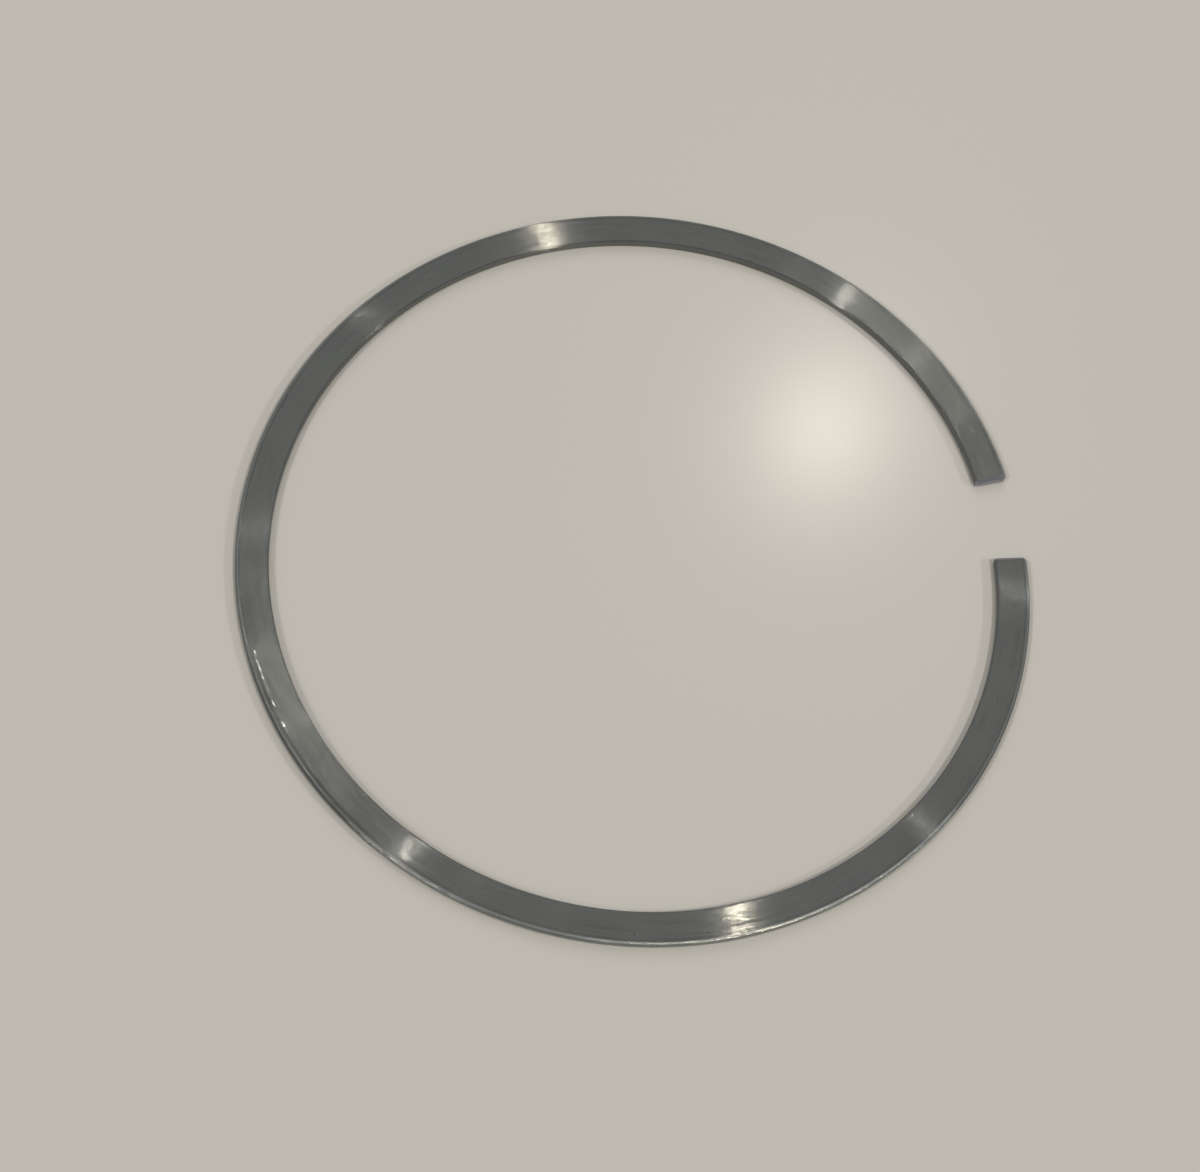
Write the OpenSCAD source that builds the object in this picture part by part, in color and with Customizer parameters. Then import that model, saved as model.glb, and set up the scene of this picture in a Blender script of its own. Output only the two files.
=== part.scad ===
// Split compression ring for an engine piston, in its free state: sprung open, with a plain
// butt gap, rounded edges and two flat side faces. It lies on its lower side face. The origin
// is in the plane of that face, under the middle of the ring's outline, +Z runs along the
// ring's axis and the gap opens towards +X.

/* [Ring] */
// Diameter of the cylinder bore that the closed ring runs in
bore_diameter = 86; // [60:0.5:130]
// Radial thickness of the wall
radial_wall = 3.7; // [2:0.1:6]
// Height along the axis, from side face to side face
ring_height = 1.2; // [0.8:0.1:3]

/* [Edges] */
// Height of the flat band left on the outer running face between its two rounded edges
running_land = 0.2; // [0.1:0.05:0.6]
// Radius of the two edges of the inner face
inner_edge_r = 0.25; // [0.05:0.05:0.35]
// Chamfer where the side faces meet the two cut ends
end_chamfer = 0.3; // [0.1:0.05:0.35]

/* [Gap] */
// Gap between the ends when the ring is closed in its bore
closed_gap = 0.3; // [0.1:0.05:1]
// Gap between the ends at mid wall when the ring is free
free_gap = 9.7; // [4:0.1:16]

/* [Hidden] */
$fn = 96;
overcut = 1;

mean_r = (bore_diameter - radial_wall) / 2;
inner_side = -radial_wall / 2;
outer_side = radial_wall / 2;
running_edge_r = (ring_height - running_land) / 2;

// A ring of even wall that presses evenly on its bore has a free shape whose heading lags the
// closed circle's by opening * (b + sin b) at the angle b round from its back. Its free gap is
// closed_gap + PI * mean_r * (3 * opening + 2.5 * opening ^ 2), solved here for opening.
opening = (sqrt(9 + 10 * (free_gap - closed_gap) / (PI * mean_r)) - 3) / 5;

// That shape is drawn with two radii: one through the back half and a tighter one from there
// to each end. They keep the closed ring's length, and end at the free gap.
half_length = PI * mean_r - closed_gap / 2;
end_turn = (1 - opening) * (half_length / mean_r) * 180 / PI;
quarter_turn = 90;
side_turn = end_turn - quarter_turn;
end_lean = 1 - sin(end_turn);
side_r = micrometres(
    (half_length - free_gap / 2 * PI / 2) / (end_lean * PI / 2 + side_turn * PI / 180)
);
centre_step = micrometres(free_gap / 2 - side_r * sin(end_turn));
back_r = side_r + centre_step;

// A length to the nearest micrometre, so that the arcs meet exactly.
function micrometres(length) = round(length * 1000) / 1000;

// The back of the ring lies at X = -back_r when the back half is drawn round the origin.
end_direction = [cos(180 - end_turn), sin(180 - end_turn)];
end_point = [0, centre_step] + side_r * end_direction;
outer_tip = end_point + outer_side * end_direction;
middle_x = (outer_tip[0] - back_r - outer_side) / 2;

// A band of the wall's section with an edge radius at the top and bottom of one side.
module rounded_side(side_x, edge_r, inward) {
    for (edge_z = [edge_r, ring_height - edge_r])
        translate([side_x + inward * edge_r, edge_z]) circle(r = edge_r);
    translate([min(side_x, side_x + inward * edge_r), edge_r])
        square([edge_r, ring_height - 2 * edge_r]);
}

// Section of the wall, with mid wall on X = 0 and the outer running face on the +X side.
module wall_section() {
    rounded_side(inner_side, inner_edge_r, 1);
    rounded_side(outer_side, running_edge_r, -1);
    translate([inner_side + inner_edge_r, 0])
        square([radial_wall - inner_edge_r - running_edge_r, ring_height]);
}

// Prism that takes the top edge off a cut end that lies in the XZ plane with the wall on its
// +Y side.
module end_edge_cut() {
    translate([inner_side - overcut, 0, ring_height])
        rotate([90, 0, 90])
            linear_extrude(radial_wall + 2 * overcut)
                polygon([
                    [end_chamfer + overcut, overcut],
                    [-overcut, -end_chamfer - overcut],
                    [-overcut, overcut]
                ]);
}

// The wall bent to mid-wall radius bend_r, turning anticlockwise from the XZ plane.
module wall_arc(bend_r, turn) {
    rotate_extrude(angle = turn) translate([bend_r, 0]) wall_section();
}

// The arc on the +Y side, from the back half round to the cut end.
module side_arc() {
    translate([0, centre_step, 0]) rotate(90) mirror([0, 1, 0]) wall_arc(side_r, side_turn);
}

// Edge cuts of the cut end on the +Y side of the gap.
module end_cuts() {
    translate(end_point)
        rotate(180 - end_turn) {
            end_edge_cut();
            translate([0, 0, ring_height]) mirror([0, 0, 1]) end_edge_cut();
        }
}

module piston_ring() {
    color("dimgray")
        translate([-middle_x, 0, 0])
            difference() {
                union() {
                    rotate(90) wall_arc(back_r, 2 * quarter_turn);
                    side_arc();
                    mirror([0, 1, 0]) side_arc();
                }
                end_cuts();
                mirror([0, 1, 0]) end_cuts();
            }
}

piston_ring();
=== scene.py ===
"""Piston ring: a split compression ring of nitrided steel, dressed around its CAD frame."""
import bpy
import math
from functools import partial
from mathutils import Matrix, Vector


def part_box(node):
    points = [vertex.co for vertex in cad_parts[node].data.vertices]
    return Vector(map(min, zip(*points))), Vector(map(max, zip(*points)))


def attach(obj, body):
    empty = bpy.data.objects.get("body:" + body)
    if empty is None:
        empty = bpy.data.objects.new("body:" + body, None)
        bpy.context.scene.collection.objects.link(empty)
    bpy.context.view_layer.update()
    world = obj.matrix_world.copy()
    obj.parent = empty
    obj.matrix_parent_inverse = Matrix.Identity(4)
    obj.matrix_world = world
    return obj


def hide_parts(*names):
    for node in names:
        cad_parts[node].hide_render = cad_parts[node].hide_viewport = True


bl_info = {
    "name": "Piston Ring",
    "version": (1, 0, 0),
    "blender": (4, 5, 0),
    "location": "3D View > Sidebar > Piston Ring",
    "description": "Builds a split compression ring with its lapped finish, and a plain stage",
    "category": "Add Mesh",
}

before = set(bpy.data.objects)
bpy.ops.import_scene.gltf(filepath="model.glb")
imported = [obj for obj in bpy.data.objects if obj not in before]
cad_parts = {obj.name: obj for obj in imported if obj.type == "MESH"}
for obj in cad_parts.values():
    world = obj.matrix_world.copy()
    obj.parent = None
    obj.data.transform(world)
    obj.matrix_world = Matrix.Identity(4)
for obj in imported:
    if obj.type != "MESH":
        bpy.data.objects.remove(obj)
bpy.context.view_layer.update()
RING_NODE = "piston_ring"
RING_LOW, RING_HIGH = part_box(RING_NODE)

MM = 0.001
LAY_UV = "lay"
OFFSET_ATTRIBUTE = "wall_offset"

MATH = "ShaderNodeMath"
VECTOR_MATH = "ShaderNodeVectorMath"
RANGE = "ShaderNodeMapRange"
XYZ = "ShaderNodeCombineXYZ"
SWITCH = "GeometryNodeSwitch"
SMOOTH = {"interpolation_type": "SMOOTHSTEP"}


def linear(hex_colour):
    """An sRGB hex colour as linear RGB with alpha 1."""
    channels = [int(hex_colour[i:i + 2], 16) / 255 for i in (1, 3, 5)]
    return tuple(
        c / 12.92 if c <= 0.04045 else ((c + 0.055) / 1.055) ** 2.4 for c in channels
    ) + (1.0,)


def add_node(tree, kind, inputs=(), **settings):
    """Adds a node with its settings and links.

    The inputs are a dict by name or index, or a plain row in the node's own order. Each one is a
    value, an output, or a node, which gives its first output. A setting that is a dict makes the
    node's items of those names and types.
    """
    node = tree.nodes.new(kind)
    for name, value in settings.items():
        if isinstance(value, dict):
            for item, item_type in value.items():
                getattr(node, name).new(item_type, item)
        else:
            setattr(node, name, value)
    filled = inputs if isinstance(inputs, dict) else dict(enumerate(inputs))
    for key, value in filled.items():
        if isinstance(value, bpy.types.Node):
            value = value.outputs[0]
        if isinstance(value, bpy.types.NodeSocket):
            tree.links.new(value, node.inputs[key])
        else:
            node.inputs[key].default_value = value
    return node


class RingSizes(bpy.types.PropertyGroup):
    """Sizes of the finished ring."""

    radial_wall: bpy.props.FloatProperty(
        name="Radial wall", description="Radial thickness of the wall",
        default=3.7 * MM, min=1 * MM, unit="LENGTH")
    centre_step: bpy.props.FloatProperty(
        name="Centre step", description="How far the two side bends' centres lie from the back's",
        default=1.621 * MM, min=0, unit="LENGTH")
    end_turn: bpy.props.FloatProperty(
        name="End turn", description="Angle from the middle of the back to each cut end",
        default=math.radians(175.5181), subtype="ANGLE", unit="ROTATION")
    running_edge: bpy.props.FloatProperty(
        name="Running edge radius", description="Radius of the two edges of the outer face",
        default=0.5 * MM, min=0, unit="LENGTH")
    inner_edge: bpy.props.FloatProperty(
        name="Inner edge radius", description="Radius of the two edges of the inner face",
        default=0.25 * MM, min=0, unit="LENGTH")
    end_chamfer: bpy.props.FloatProperty(
        name="End chamfer", description="Chamfer of the cut ends",
        default=0.3 * MM, min=0, unit="LENGTH")
    outer_corner: bpy.props.FloatProperty(
        name="Outer corner radius", description="Radius worn on the outer corner of each cut end",
        default=0.55 * MM, min=0.1 * MM, unit="LENGTH")
    inner_corner: bpy.props.FloatProperty(
        name="Inner corner radius", description="Radius worn on the inner corner of each cut end",
        default=0.3 * MM, min=0.1 * MM, unit="LENGTH")
    clearance: bpy.props.FloatProperty(
        name="Clearance", description="How far the finished ring keeps inside its frame",
        default=0.0125 * MM, min=0, unit="LENGTH")


class Finish(bpy.types.PropertyGroup):
    """Colours of the ring's metal."""

    lapped_colour: bpy.props.StringProperty(
        name="Lapped steel", description="Colour of the lapped side faces", default="#a7aaa7")
    end_colour: bpy.props.StringProperty(
        name="Ground ends", description="Colour of the cut ends", default="#a6a6b1")


class Stage(bpy.types.PropertyGroup):
    """The floor and its light."""

    floor_colour: bpy.props.StringProperty(
        name="Floor", description="Colour of the floor", default="#c3c0b8")
    world_share: bpy.props.FloatProperty(
        name="Room light", description="Share of the light that comes from the whole room",
        default=0.27, min=0, max=1, subtype="FACTOR")


# How finely the ring is cut: its stations, those of them round each end corner, the steps of each
# rounded edge of the section, and the cuts across each of its two flats.
STATIONS = 541
END_STEPS = 10
EDGE_STEPS = 9
FLAT_CUTS = 30
# Edges bent by more than this stay sharp.
CREASE = math.radians(30)
# A face of the sweep has four corners at most, and a cut end's single face has many more.
MOST_QUAD_CORNERS = 4
# The way round starts again from 0 at the section's seam. Only there does a corner lag its face's
# mean way by more than this share of half the round.
SEAM_SHARE = 0.4

RING_LENGTHS = (
    "Back Radius", "Side Radius", "Centre Step", "Centre X", "End Turn", "Wall", "Height",
    "Running Edge", "Inner Edge", "End Chamfer", "Outer Corner", "Inner Corner",
)


def ring_line(tree, given):
    """The line that the wall follows: even steps round the ring, then short ones that turn evenly
    round each end corner. Each point keeps its way to the end and its outward direction."""
    add = partial(add_node, tree)
    steps = add("GeometryNodeResampleCurve", {
        "Curve": add("GeometryNodeCurvePrimitiveLine"), "Count": STATIONS})
    factor = add("GeometryNodeSplineParameter").outputs["Factor"]
    signed = add(MATH, (factor, 2.0, -1.0), operation="MULTIPLY_ADD")
    along = add(MATH, (signed,), operation="ABSOLUTE")
    other_side = add(MATH, (add(MATH, (signed,), operation="SIGN"), -1.0), operation="MULTIPLY")

    corner_turn = add(MATH, (given["Outer Corner"], given["Side Radius"]), operation="DIVIDE")
    plain_turn = add(MATH, (given["End Turn"], corner_turn), operation="SUBTRACT")
    corner_start = 1 - 2 * END_STEPS / (STATIONS - 1)
    plain = add(RANGE, (along, 0.0, corner_start, 0.0, plain_turn))
    bend = add(RANGE, (along, corner_start, 1.0, 0.0, math.pi / 2))
    bent_turn = add(MATH, (
        corner_turn, add(MATH, (bend,), operation="SINE")), operation="MULTIPLY")
    turn = add(MATH, (plain, bent_turn), operation="ADD")
    cosine = add(MATH, (turn,), operation="COSINE")
    sine = add(MATH, (turn,), operation="SINE")

    past_back = add(MATH, (turn, math.pi / 2), operation="GREATER_THAN")
    step = add(MATH, (past_back, given["Centre Step"]), operation="MULTIPLY")
    radius = add(MATH, (given["Back Radius"], step), operation="SUBTRACT")
    x = add(MATH, (
        given["Centre X"], add(MATH, (radius, cosine), operation="MULTIPLY")),
        operation="SUBTRACT")
    reach = add(MATH, (step, add(MATH, (radius, sine), operation="MULTIPLY")), operation="ADD")
    y = add(MATH, (other_side, reach), operation="MULTIPLY")
    middle_z = add(MATH, (given["Height"], 2.0), operation="DIVIDE")

    turn_left = add(MATH, (given["End Turn"], turn), operation="SUBTRACT")
    kept = add("GeometryNodeCaptureAttribute", {
        "Geometry": steps,
        "To End": add(MATH, (turn_left, given["Side Radius"]), operation="MULTIPLY"),
        "Outward": add(XYZ, (
            add(MATH, (cosine, -1.0), operation="MULTIPLY"),
            add(MATH, (sine, other_side), operation="MULTIPLY")))},
        capture_items={"To End": "FLOAT", "Outward": "VECTOR"}).outputs
    bent = add("GeometryNodeSetPosition", {
        "Geometry": kept["Geometry"], "Position": add(XYZ, (x, y, middle_z))})
    upright = add("GeometryNodeSetCurveNormal", {"Curve": bent}, mode="Z_UP")
    station = add("GeometryNodeCaptureAttribute", {
        "Geometry": upright,
        "Length": add("GeometryNodeSplineParameter").outputs["Length"]},
        capture_items={"Length": "FLOAT"}).outputs
    return station, kept["To End"], kept["Outward"]


def wall_section(tree, given):
    """The section: a rectangle with its four edges rounded, in short even steps on the flats. Each
    point keeps its offset from mid wall and its way round."""
    add = partial(add_node, tree)
    rectangle = add("GeometryNodeCurvePrimitiveQuadrilateral", {
        "Width": given["Wall"], "Height": given["Height"]}, mode="RECTANGLE")
    here = add("ShaderNodeSeparateXYZ", (add("GeometryNodeInputPosition"),)).outputs["X"]
    edge = add(SWITCH, {
        "Switch": add(MATH, (here, 0.0), operation="GREATER_THAN"),
        "False": given["Inner Edge"], "True": given["Running Edge"]}, input_type="FLOAT")
    rounded = add("GeometryNodeFilletCurve", {
        "Curve": rectangle, "Count": EDGE_STEPS, "Radius": edge}, mode="POLY")

    count = add("GeometryNodeAttributeDomainSize", {
        "Geometry": rounded}, component="CURVE").outputs["Point Count"]
    following = add(MATH, (
        add(MATH, (add("GeometryNodeInputIndex"), 1.0), operation="ADD"), count),
        operation="MODULO")
    next_x = add("GeometryNodeFieldAtIndex", {
        "Index": following, "Value": here}, data_type="FLOAT")
    jump = add(MATH, (
        add(MATH, (next_x, here), operation="SUBTRACT"),), operation="ABSOLUTE")
    is_flat = add(MATH, (
        jump, add(MATH, (given["Wall"], 0.5), operation="MULTIPLY")), operation="GREATER_THAN")
    fine = add("GeometryNodeSubdivideCurve", {
        "Curve": rounded,
        "Cuts": add(MATH, (is_flat, float(FLAT_CUTS)), operation="MULTIPLY")})
    return add("GeometryNodeCaptureAttribute", {
        "Geometry": fine, "Offset": here,
        "Way Round": add("GeometryNodeSplineParameter").outputs["Length"]},
        capture_items={"Offset": "FLOAT", "Way Round": "FLOAT"}).outputs


def chamfered_ends(tree, given, ring, to_end):
    """Near each end the section keeps only its middle band of height."""
    add = partial(add_node, tree)
    middle_z = add(MATH, (given["Height"], 2.0), operation="DIVIDE")
    band_height = add(MATH, (
        add(MATH, (middle_z, given["End Chamfer"]), operation="SUBTRACT"),
        add(MATH, (to_end, given["End Chamfer"]), operation="MINIMUM")), operation="ADD")
    lowest = add(MATH, (middle_z, band_height), operation="SUBTRACT")
    highest = add(MATH, (middle_z, band_height), operation="ADD")
    at = add("ShaderNodeSeparateXYZ", (add("GeometryNodeInputPosition"),)).outputs
    held = add(MATH, (
        add(MATH, (at["Z"], lowest), operation="MAXIMUM"), highest), operation="MINIMUM")
    return add("GeometryNodeSetPosition", {
        "Geometry": ring, "Position": add(XYZ, (at["X"], at["Y"], held))})


def worn_corners(tree, given, ring, to_end, outward, offset):
    """At each end both halves of the wall narrow towards mid wall as a quarter circle does."""
    add = partial(add_node, tree)
    corner = add(SWITCH, {
        "Switch": add(MATH, (offset, 0.0), operation="GREATER_THAN"),
        "False": given["Inner Corner"], "True": given["Outer Corner"]}, input_type="FLOAT")
    short = add(MATH, (
        corner, add(MATH, (to_end, corner), operation="MINIMUM")), operation="SUBTRACT")
    rise = add(MATH, (add(MATH, (
        add(MATH, (corner, corner), operation="MULTIPLY"),
        add(MATH, (short, short), operation="MULTIPLY")), operation="SUBTRACT"),),
        operation="SQRT")
    inset = add(MATH, (corner, rise), operation="SUBTRACT")
    drawn_in = add(MATH, (
        add(MATH, (offset, inset), operation="MULTIPLY"),
        add(MATH, (given["Wall"], -0.5), operation="MULTIPLY")), operation="DIVIDE")
    return add("GeometryNodeSetPosition", {
        "Geometry": ring,
        "Offset": add(VECTOR_MATH, {0: outward, "Scale": drawn_in}, operation="SCALE")})


def lay_mapped(tree, given, ring, length, section):
    """Stores the lay's own coordinates, the length along the line and the way round the section
    from its seam, and the offset from mid wall. A cut end is mapped by its offset and height."""
    add = partial(add_node, tree)
    way = section["Way Round"]
    mean_way = add("GeometryNodeFieldOnDomain", {
        "Value": way}, data_type="FLOAT", domain="FACE")
    half_round = add(MATH, (given["Wall"], given["Height"]), operation="ADD")
    past_seam = add(MATH, (
        add(MATH, (mean_way, way), operation="SUBTRACT"),
        add(MATH, (half_round, SEAM_SHARE), operation="MULTIPLY")), operation="GREATER_THAN")
    whole_round = add(MATH, (half_round, 2.0), operation="MULTIPLY")
    open_way = add(MATH, (past_seam, whole_round, way), operation="MULTIPLY_ADD")
    corners = add("GeometryNodeInputMeshFaceNeighbors").outputs["Vertex Count"]
    height = add("ShaderNodeSeparateXYZ", (add("GeometryNodeInputPosition"),)).outputs["Z"]
    lay = add(SWITCH, {
        "Switch": add(MATH, (corners, MOST_QUAD_CORNERS + 0.5), operation="GREATER_THAN"),
        "False": add(XYZ, (length, open_way)),
        "True": add(XYZ, (section["Offset"], height))}, input_type="VECTOR")
    mapped = add("GeometryNodeStoreNamedAttribute", {
        "Geometry": ring, "Name": LAY_UV, "Value": lay}, data_type="FLOAT2", domain="CORNER")
    return add("GeometryNodeStoreNamedAttribute", {
        "Geometry": mapped, "Name": OFFSET_ATTRIBUTE, "Value": section["Offset"]},
        data_type="FLOAT", domain="POINT")


def ring_sweep_tree():
    """Geometry Nodes: the wall's section, swept along the free ring's two-radius line."""
    tree = bpy.data.node_groups.new("Ring sweep", "GeometryNodeTree")
    for name in RING_LENGTHS:
        tree.interface.new_socket(name=name, in_out="INPUT", socket_type="NodeSocketFloat")
    for name in ("Ring Material", "End Material"):
        tree.interface.new_socket(name=name, in_out="INPUT", socket_type="NodeSocketMaterial")
    tree.interface.new_socket(name="Ring", in_out="OUTPUT", socket_type="NodeSocketGeometry")
    add = partial(add_node, tree)
    given = add("NodeGroupInput").outputs

    station, to_end, outward = ring_line(tree, given)
    section = wall_section(tree, given)
    swept = add("GeometryNodeCurveToMesh", {
        "Curve": station["Geometry"], "Profile Curve": section["Geometry"], "Fill Caps": True})
    chamfered = chamfered_ends(tree, given, swept, to_end)
    worn = worn_corners(tree, given, chamfered, to_end, outward, section["Offset"])
    mapped = lay_mapped(tree, given, worn, station["Length"], section)

    smooth = add("GeometryNodeSetShadeSmooth", {"Geometry": mapped, "Shade Smooth": True})
    bend = add("GeometryNodeInputMeshEdgeAngle").outputs["Unsigned Angle"]
    creased = add("GeometryNodeSetShadeSmooth", {
        "Geometry": smooth, "Shade Smooth": False,
        "Selection": add(MATH, (bend, CREASE), operation="GREATER_THAN")}, domain="EDGE")
    real = add("GeometryNodeRealizeInstances", {"Geometry": creased})
    lapped = add("GeometryNodeSetMaterial", {
        "Geometry": real, "Material": given["Ring Material"]})
    face_to_end = add("GeometryNodeFieldOnDomain", {
        "Value": to_end}, data_type="FLOAT", domain="FACE")
    ground = add("GeometryNodeSetMaterial", {
        "Geometry": lapped, "Material": given["End Material"],
        "Selection": add(MATH, (face_to_end, given["End Chamfer"]), operation="LESS_THAN")})
    add("NodeGroupOutput", {"Ring": ground})
    return tree


def modified_mesh(name, tree, values):
    """An object whose plain mesh is what the Geometry Nodes tree makes with these values."""
    shell = bpy.data.objects.new(name, bpy.data.meshes.new(name))
    bpy.context.scene.collection.objects.link(shell)
    modifier = shell.modifiers.new(tree.name, "NODES")
    modifier.node_group = tree
    for item in tree.interface.items_tree:
        if item.item_type == "SOCKET" and item.in_out == "INPUT":
            modifier[item.identifier] = values[item.name]
    bpy.context.view_layer.update()
    depsgraph = bpy.context.evaluated_depsgraph_get()
    made = bpy.data.meshes.new_from_object(shell.evaluated_get(depsgraph))
    shell.modifiers.remove(modifier)
    shell.data = made
    made.name = name
    return shell


def lay_millimetres(tree):
    """The lay's coordinates in millimetres: X along the ring, Y round its section."""
    uv = add_node(tree, "ShaderNodeUVMap", uv_map=LAY_UV)
    return add_node(tree, VECTOR_MATH, {0: uv, "Scale": 1 / MM}, operation="SCALE")


def lay_grain(tree, lay, length, width, **inputs):
    """A cloudy grain, about length by width millimetres, that follows the lay."""
    stretched = add_node(tree, "ShaderNodeMapping", {
        "Vector": lay, "Scale": (1 / length, 1 / width, 1.0)})
    values = {"Vector": stretched, "Scale": 1.0, "Detail": 2.0, "Roughness": 0.5}
    values.update({name.title(): value for name, value in inputs.items()})
    return add_node(tree, "ShaderNodeTexNoise", values, noise_dimensions="2D")


def slope(tree, grain, steepness, middle=0.5):
    """A slope that swings about level as the grain swings about its middle."""
    swing = add_node(tree, MATH, (grain, middle), operation="SUBTRACT")
    return add_node(tree, MATH, (swing, steepness), operation="MULTIPLY")


def grooved_normal(tree, along, across):
    """The surface's normal, tipped along the lay and across it by these two slopes."""
    halves = [
        add_node(tree, MATH, (tip, 0.5, 0.5), operation="MULTIPLY_ADD") for tip in (along, across)]
    return add_node(tree, "ShaderNodeNormalMap", {
        "Color": add_node(tree, XYZ, (*halves, 1.0))}, uv_map=LAY_UV)


def band(tree, value, middle, reach, fade):
    """1 within reach of the middle, falling smoothly to 0 over the fade beyond it."""
    apart = add_node(tree, MATH, (value, middle), operation="SUBTRACT")
    distance = add_node(tree, MATH, (apart,), operation="ABSOLUTE")
    return add_node(tree, RANGE, (distance, reach, reach + fade, 1.0, 0.0), **SMOOTH)


def graded(tree, value, *grades):
    """The value times a smooth factor for each grade: what it goes by, that thing's start and
    end, and the factor at each."""
    for grade in grades:
        factor = add_node(tree, RANGE, grade, **SMOOTH)
        value = add_node(tree, MATH, (value, factor), operation="MULTIPLY")
    return value


# Grains of the steel's marks, in millimetres along the lay and across it. Real lapping marks are
# some 0.01 mm wide and too fine to show, so the scratches and waves are drawn as coarse as they
# need to show. The grooves stay fine: they only spread the light across the wall.
GROOVES = (9.0, 0.018)
SCRATCHES = (6.0, 0.07)
CLOUDS = (1.4, 0.8)
WAVES = (9.0, 0.25)
PEENING = (0.15, 0.04)
BREAKS = (0.5, 5.0)
END_GRAIN = (0.6, 0.08)
END_GRAIN_DEPTH = 0.004 * MM

# How steep those marks are for a whole swing of their grain from 0 to 1, and the grooves' level
# there, which leans them a little inwards.
GROOVE_SLOPE = 4.4
GROOVE_MIDDLE = 0.515
SCRATCH_SLOPE = 0.9
WAVE_SLOPE = 0.025
PEENING_SLOPE = 1.0

# The part of a grain's swing over which the clouds deepen, and the part over which a nick breaks
# off. A mask's effect goes by the whole of it.
CLOUD_RANGE = (0.3, 0.7)
BREAK_RANGE = (0.47, 0.55)
WHOLE = (0.0, 1.0)

# Places across the wall in millimetres outwards from its middle. The first four are where a change
# starts and ends: the flats' slow change from inside to outside, then the start of the rim, of the
# outer edge and, on both sides, of the walls. The nicks' line and the line of painted shade inside
# the edge are a middle, a reach and a fade.
FLATS = (-1.2, 1.2)
RIM = (1.02, 1.12)
EDGE = (1.48, 1.56)
WALLS = (1.66, 1.76)
NICK_LINE = (0.96, 0.06, 0.05)
PAINTED_SHADE_LINE = (1.32, 0.05, 0.08)

# Stretches of the ring in millimetres from the upper end, as a middle, a reach and a fade: where
# the flat is nicked near its rim and a glint is painted on the nicks, where the rim is painted
# darker as a painted dark reflection, and where the edge is burnished and carries a painted
# highlight. The painted highlight grows brighter from the first to the second of the last two
# lengths.
NICKED_AND_GLINTING = (139.3, 4.6, 1.5)
PAINTED_DARK_REFLECTION_STRETCH = (147.5, 8.5, 5.0)
BURNISHED_AND_HIGHLIT = (191.4, 33.0, 4.0)
PAINTED_HIGHLIGHT_GROWTH = (160.0, 225.0)

# The specks, in millimetres: the cells that hold one speck at most, the share of them that have
# one, and where a speck's edge starts and ends.
SPECK_CELL = 4.0
SPECK_SHARE = 0.3
SPECK_EDGE = (0.05, 0.13)


def dark_specks(tree, lay):
    """1 in a few round specks two tenths of a millimetre across, and 0 elsewhere."""
    add = partial(add_node, tree)
    spread = add("ShaderNodeMapping", {
        "Vector": lay, "Scale": (1 / SPECK_CELL, 1 / SPECK_CELL, 1.0)})
    cells = add("ShaderNodeTexVoronoi", {
        "Vector": spread, "Scale": 1.0}, voronoi_dimensions="2D").outputs
    distance = add(MATH, (cells["Distance"], SPECK_CELL), operation="MULTIPLY")
    lot = add("ShaderNodeSeparateXYZ", (cells["Color"],))
    chosen = add(MATH, (lot, SPECK_SHARE), operation="LESS_THAN")
    return graded(tree, chosen, (distance, *SPECK_EDGE, 1.0, 0.0))


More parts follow.
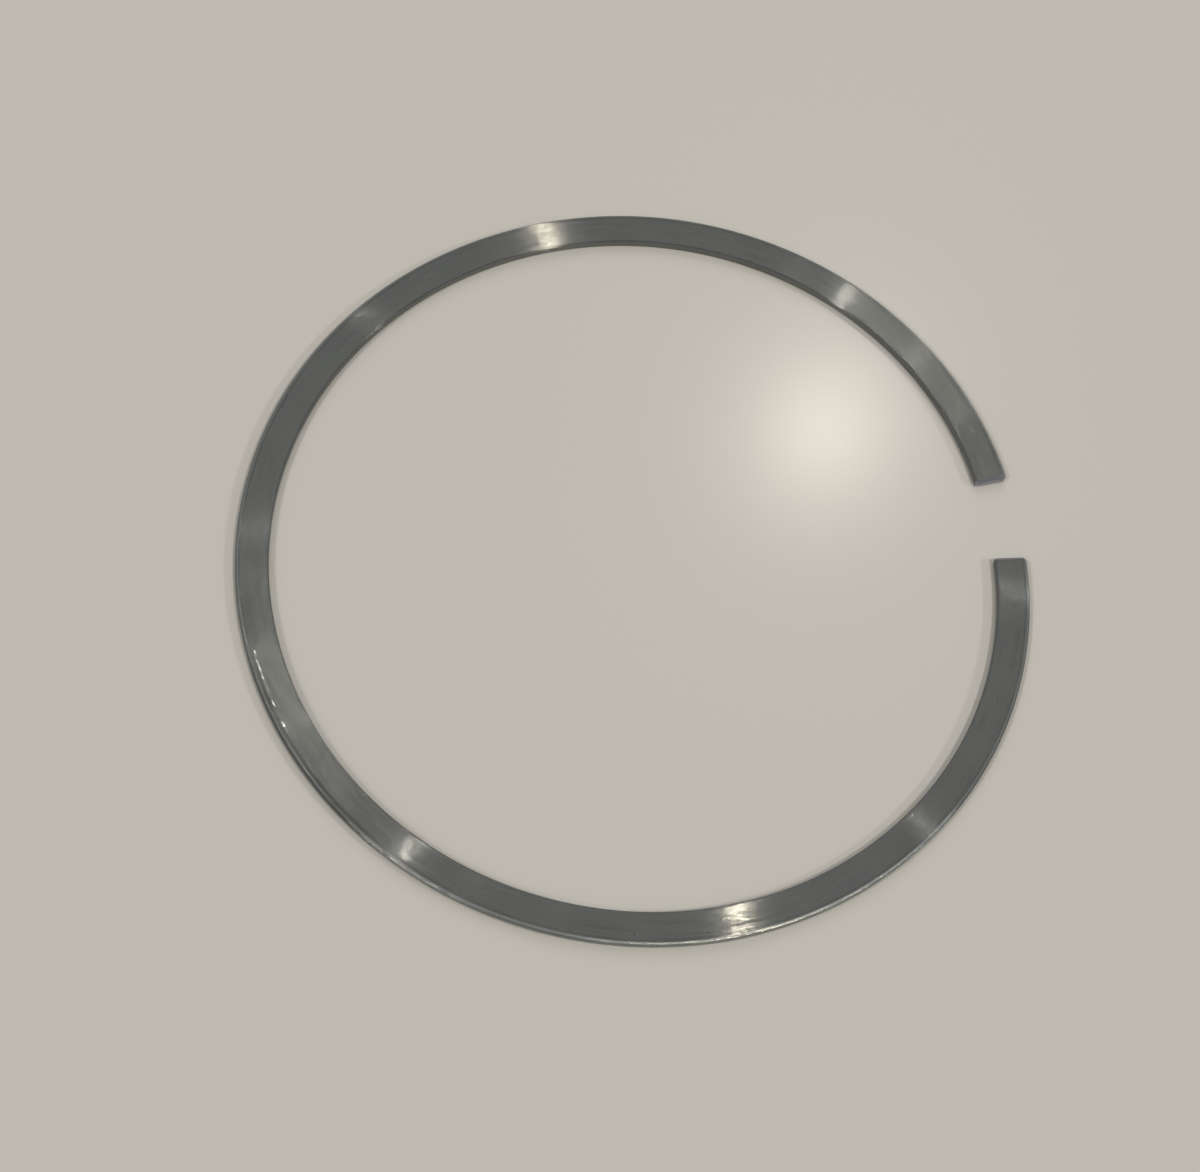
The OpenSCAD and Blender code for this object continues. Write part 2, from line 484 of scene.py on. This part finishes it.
def lapped_steel(colour):
    """Nitrided steel, lapped on its side faces: a satin grey with a fine lay round the ring, which
    draws each lamp out into a streak across the wall. The outer edge is peened, with a painted
    highlight on it."""
    material = bpy.data.materials.new("Lapped nitrided steel")
    material.use_nodes = True
    tree = material.node_tree
    tree.nodes.clear()
    add = partial(add_node, tree)
    lay = lay_millimetres(tree)
    length = add("ShaderNodeSeparateXYZ", (lay,)).outputs["X"]
    offset = add(MATH, (add(
        "ShaderNodeAttribute", attribute_name=OFFSET_ATTRIBUTE).outputs["Fac"], MM),
        operation="DIVIDE")
    from_middle = add(MATH, (offset,), operation="ABSOLUTE")
    edge = add(RANGE, (offset, *EDGE, 0.0, 1.0), **SMOOTH)
    rim = add(RANGE, (offset, *RIM, 0.0, 1.0), **SMOOTH)
    # The burnished stretch of the edge, which the tone also paints with a painted highlight.
    burnished_highlit_edge = add(MATH, (edge, band(tree, length, *BURNISHED_AND_HIGHLIT)), operation="MULTIPLY")
    # Where the rim is painted darker, as a painted dark reflection.
    painted_dark_reflection = add(MATH, (rim, band(tree, length, *PAINTED_DARK_REFLECTION_STRETCH)), operation="MULTIPLY")
    # Where the flat is nicked; the tone also paints a glint on the nicks.
    nicked = add(MATH, (
        band(tree, length, *NICKED_AND_GLINTING), band(tree, offset, *NICK_LINE)), operation="MULTIPLY")
    nicks_and_glint = graded(tree, nicked, (
        lay_grain(tree, lay, *BREAKS, detail=1.0), *BREAK_RANGE, 0.0, 1.0))

    # Across the lay: grooves and scratches, rougher in patches and towards the outside. The edge
    # and the nicks are smooth, and lean back from the flat.
    grooves = lay_grain(tree, lay, *GROOVES, detail=1.0)
    scratches = lay_grain(tree, lay, *SCRATCHES, detail=2.0)
    clouds = lay_grain(tree, lay, *CLOUDS, detail=3.0, roughness=0.6)
    marks = add(MATH, (
        slope(tree, grooves, GROOVE_SLOPE, GROOVE_MIDDLE),
        slope(tree, scratches, SCRATCH_SLOPE)), operation="ADD")
    across = graded(
        tree, marks,
        (clouds, *CLOUD_RANGE, 0.66, 1.26),
        (offset, *FLATS, 0.88, 1.08),
        (edge, *WHOLE, 1.0, 0.2),
        (nicks_and_glint, *WHOLE, 1.0, 0.1))
    for smooth_place, lean in ((edge, 0.35), (nicks_and_glint, 0.12)):
        across = add(MATH, (across, add(
            RANGE, (smooth_place, *WHOLE, 0.0, lean), **SMOOTH)), operation="SUBTRACT")

    # Along the lay the surface is nearly smooth: its long waves fray each streak's two sides. The
    # burnished edge is peened all over, which spreads each lamp into a long thin line.
    waves = lay_grain(tree, lay, *WAVES, detail=1.0)
    peening = lay_grain(tree, lay, *PEENING, detail=2.0, roughness=0.6)
    peened = graded(
        tree, slope(tree, peening, PEENING_SLOPE), (burnished_highlit_edge, *WHOLE, 0.015, 0.9))
    along = add(MATH, (slope(tree, waves, WAVE_SLOPE), peened), operation="ADD")

    # The tone: clouded, with a painted highlight on the edge that grows brighter over a stretch, a
    # painted glint on the nicks, a line of painted shade inside the edge, a painted dark
    # reflection on the rim over a stretch, dark specks, and dull on the walls, which were only
    # turned.
    # How much the painted highlight on the burnished edge brightens, along the ring.
    painted_highlight_factor = add(RANGE, (length, *PAINTED_HIGHLIGHT_GROWTH, 1.1, 1.5), **SMOOTH)
    tone = graded(
        tree, 1.0,
        (clouds, *CLOUD_RANGE, 0.96, 1.04),
        # Painted highlight on the outer edge, brighter still over the burnished stretch.
        (edge, *WHOLE, 1.0, 1.25),
        (burnished_highlit_edge, *WHOLE, 1.0, painted_highlight_factor),
        (from_middle, *WALLS, 1.0, 0.6),
        # Painted shade: a darker line inside the edge.
        (band(tree, offset, *PAINTED_SHADE_LINE), *WHOLE, 1.0, 0.85),
        # Painted dark reflection on the rim over a stretch.
        (painted_dark_reflection, *WHOLE, 1.0, 0.75),
        # Painted glint on the nicks.
        (nicks_and_glint, *WHOLE, 1.0, 2.2),
        (dark_specks(tree, lay), *WHOLE, 1.0, 0.55))
    base = add(VECTOR_MATH, {0: linear(colour)[:3], "Scale": tone}, operation="SCALE")
    shader = add("ShaderNodeBsdfPrincipled", {
        "Base Color": base, "Metallic": 1.0,
        "Roughness": 0.2, "Anisotropic": 1.0, "Anisotropic Rotation": 0.25,
        "Normal": grooved_normal(tree, along, across),
        "Tangent": add("ShaderNodeTangent", direction_type="UV_MAP", uv_map=LAY_UV)})
    add("ShaderNodeOutputMaterial", {"Surface": shader})
    return material


def ground_steel(colour):
    """Steel ground square at the cut ends: paler and a little bluer, with no lay to speak of."""
    material = bpy.data.materials.new("Ground steel ends")
    material.use_nodes = True
    tree = material.node_tree
    tree.nodes.clear()
    add = partial(add_node, tree)
    grain = lay_grain(tree, lay_millimetres(tree), *END_GRAIN, detail=2.0)
    bump = add("ShaderNodeBump", {"Height": grain, "Distance": END_GRAIN_DEPTH, "Strength": 1.0})
    shader = add("ShaderNodeBsdfPrincipled", {
        "Base Color": linear(colour), "Metallic": 1.0, "Roughness": 0.42, "Normal": bump})
    add("ShaderNodeOutputMaterial", {"Surface": shader})
    return material


def satin_white(colour):
    """A white table top with a hard satin varnish: pale, with one soft glare from a lamp."""
    material = bpy.data.materials.new("Satin white table")
    material.use_nodes = True
    tree = material.node_tree
    tree.nodes.clear()
    shader = add_node(tree, "ShaderNodeBsdfPrincipled", {
        "Base Color": linear(colour), "Roughness": 0.14})
    add_node(tree, "ShaderNodeOutputMaterial", {"Surface": shader})
    return material


class BuildRing(bpy.types.Operator):
    """Sweep the ring's wall round its free shape and give it its lapped steel"""

    bl_idname = "piston_ring.build_ring"
    bl_label = "Piston ring"

    def execute(self, context):
        sizes, finish = context.scene.ring_sizes, context.scene.ring_finish
        half_wall = sizes.radial_wall / 2
        back_radius = RING_HIGH.y - half_wall - sizes.clearance
        ring = modified_mesh("finished_ring", ring_sweep_tree(), {
            "Back Radius": back_radius,
            "Side Radius": back_radius - sizes.centre_step,
            "Centre Step": sizes.centre_step,
            "Centre X": RING_LOW.x + half_wall + back_radius,
            "End Turn": sizes.end_turn,
            "Wall": sizes.radial_wall,
            "Height": RING_HIGH.z - RING_LOW.z,
            "Running Edge": sizes.running_edge,
            "Inner Edge": sizes.inner_edge,
            "End Chamfer": sizes.end_chamfer,
            "Outer Corner": sizes.outer_corner,
            "Inner Corner": sizes.inner_corner,
            "Ring Material": lapped_steel(finish.lapped_colour),
            "End Material": ground_steel(finish.end_colour),
        })
        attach(ring, "root")
        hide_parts(RING_NODE)
        return {"FINISHED"}


FLOOR_HALF = 0.6

# Each lamp: azimuth and elevation in degrees, how wide it looks in degrees, its share of the
# floor's light, its colour, and whether metal mirrors it or it only fills.
LAMPS = {
    "key": (-63.0, 60.0, 2.3, 0.099, "#fff3df", True),
    "back": (64.0, 60.1, 1.4, 0.0088, "#fff6e6", True),
    "left": (-150.2, 44.0, 1.2, 0.048, "#fff7ed", True),
    "right": (-25.2, 37.0, 0.8, 0.0098, "#fffbf6", True),
    "far_right": (21.0, 35.0, 1.0, 0.0042, "#fffdfa", True),
    "key_fill": (-53.0, 63.0, 4.0, 0.185, "#ffffff", False),
    "left_fill": (-163.0, 54.0, 4.0, 0.15, "#ffffff", False),
    "right_fill": (-26.0, 36.0, 4.0, 0.09, "#ffffff", False),
    "back_fill": (82.0, 40.0, 40.0, 0.12, "#ffffff", False),
}
LAMP_DISTANCE = 8.0

# The camera's lens and sensor in millimetres, and the nearest and furthest that it sees in metres.
LENS = 85.0
SENSOR_WIDTH = 36.0
SIGHT = (0.01, 10.0)
# In degrees: how far the camera leans from straight above, towards which side of the floor, and
# how far the ring is turned on the floor. Then where the camera stands over the ring's middle,
# in millimetres along its own axes.
CAMERA_LEAN = 25.5886
LEAN_AZIMUTH = 260.1181
RING_TURN = 7.97
CAMERA_STAND = (-3.6975, -2.5342, 314.723)


def hang_lamp(scene, name, azimuth, elevation, width, share, colour, mirrored):
    """A round lamp that looks so wide and gives its share of a full light on the floor."""
    azimuth, elevation = math.radians(azimuth), math.radians(elevation)
    towards = Vector((
        math.cos(elevation) * math.cos(azimuth), math.cos(elevation) * math.sin(azimuth),
        math.sin(elevation)))
    lamp = bpy.data.lights.new(name, "AREA")
    lamp.shape = "DISK"
    lamp.size = 2 * LAMP_DISTANCE * math.tan(math.radians(width) / 2)
    lamp.color = linear(colour)[:3]
    lamp.energy = share * (math.pi * LAMP_DISTANCE) ** 2 / math.sin(elevation)
    holder = bpy.data.objects.new(name, lamp)
    holder.location = towards * LAMP_DISTANCE
    holder.rotation_euler = towards.to_track_quat("Z", "Y").to_euler()
    holder.visible_glossy = mirrored
    scene.collection.objects.link(holder)


def light_room(scene, strength):
    """An even white light from the whole room."""
    world = bpy.data.worlds.new("Room")
    scene.world = world
    world.use_nodes = True
    tree = world.node_tree
    tree.nodes.clear()
    light = add_node(tree, "ShaderNodeBackground", {
        "Color": linear("#ffffff"), "Strength": strength})
    add_node(tree, "ShaderNodeOutputWorld", {"Surface": light})


def camera_place():
    """The camera leans back over the near side of the ring."""
    lean, azimuth, turn = (math.radians(a) for a in (CAMERA_LEAN, LEAN_AZIMUTH, RING_TURN))
    axis = Vector((-math.sin(azimuth), math.cos(azimuth), 0))
    turned = Matrix.Rotation(-turn, 4, "Z") @ Matrix.Rotation(lean, 4, axis)
    return turned @ Matrix.Translation(Vector(CAMERA_STAND) * MM)


class BuildStage(bpy.types.Operator):
    """Add the floor, the lamps, the room light and the camera"""

    bl_idname = "piston_ring.build_stage"
    bl_label = "Stage"

    def execute(self, context):
        scene = context.scene
        mesh = bpy.data.meshes.new("floor")
        mesh.from_pydata(
            [(x * FLOOR_HALF, y * FLOOR_HALF, 0) for x, y in ((-1, -1), (1, -1), (1, 1), (-1, 1))],
            [], [(0, 1, 2, 3)])
        mesh.materials.append(satin_white(scene.ring_stage.floor_colour))
        floor = bpy.data.objects.new("floor", mesh)
        scene.collection.objects.link(floor)

        for name, values in LAMPS.items():
            hang_lamp(scene, name, *values)
        light_room(scene, scene.ring_stage.world_share)

        camera = bpy.data.cameras.new("camera")
        camera.lens = LENS
        camera.sensor_width = SENSOR_WIDTH
        camera.clip_start, camera.clip_end = SIGHT
        holder = bpy.data.objects.new("camera", camera)
        holder.matrix_world = camera_place()
        scene.collection.objects.link(holder)
        scene.camera = holder
        scene.view_settings.view_transform = "Standard"
        return {"FINISHED"}


PROPERTIES = {"ring_sizes": RingSizes, "ring_finish": Finish, "ring_stage": Stage}


class RingPanel(bpy.types.Panel):
    """Sizes, colours and building steps of the piston ring"""

    bl_idname = "VIEW3D_PT_piston_ring"
    bl_label = "Piston Ring"
    bl_space_type = "VIEW_3D"
    bl_region_type = "UI"
    bl_category = "Piston Ring"

    def draw(self, context):
        for name, group in PROPERTIES.items():
            box = self.layout.box()
            for prop in group.__annotations__:
                box.prop(getattr(context.scene, name), prop)
        for operator in (BuildRing, BuildStage):
            self.layout.operator(operator.bl_idname)


CLASSES = (RingSizes, Finish, Stage, BuildRing, BuildStage, RingPanel)


def register():
    """Registers the classes and adds their settings to the scene."""
    for cls in CLASSES:
        bpy.utils.register_class(cls)
    for name, group in PROPERTIES.items():
        setattr(bpy.types.Scene, name, bpy.props.PointerProperty(type=group))


def unregister():
    """Takes the settings and the classes away again."""
    for name in PROPERTIES:
        delattr(bpy.types.Scene, name)
    for cls in reversed(CLASSES):
        bpy.utils.unregister_class(cls)


def main():
    """Builds everything."""
    register()
    bpy.ops.piston_ring.build_ring()
    bpy.ops.piston_ring.build_stage()
    bpy.context.view_layer.update()


if __name__ == "__main__":
    main()
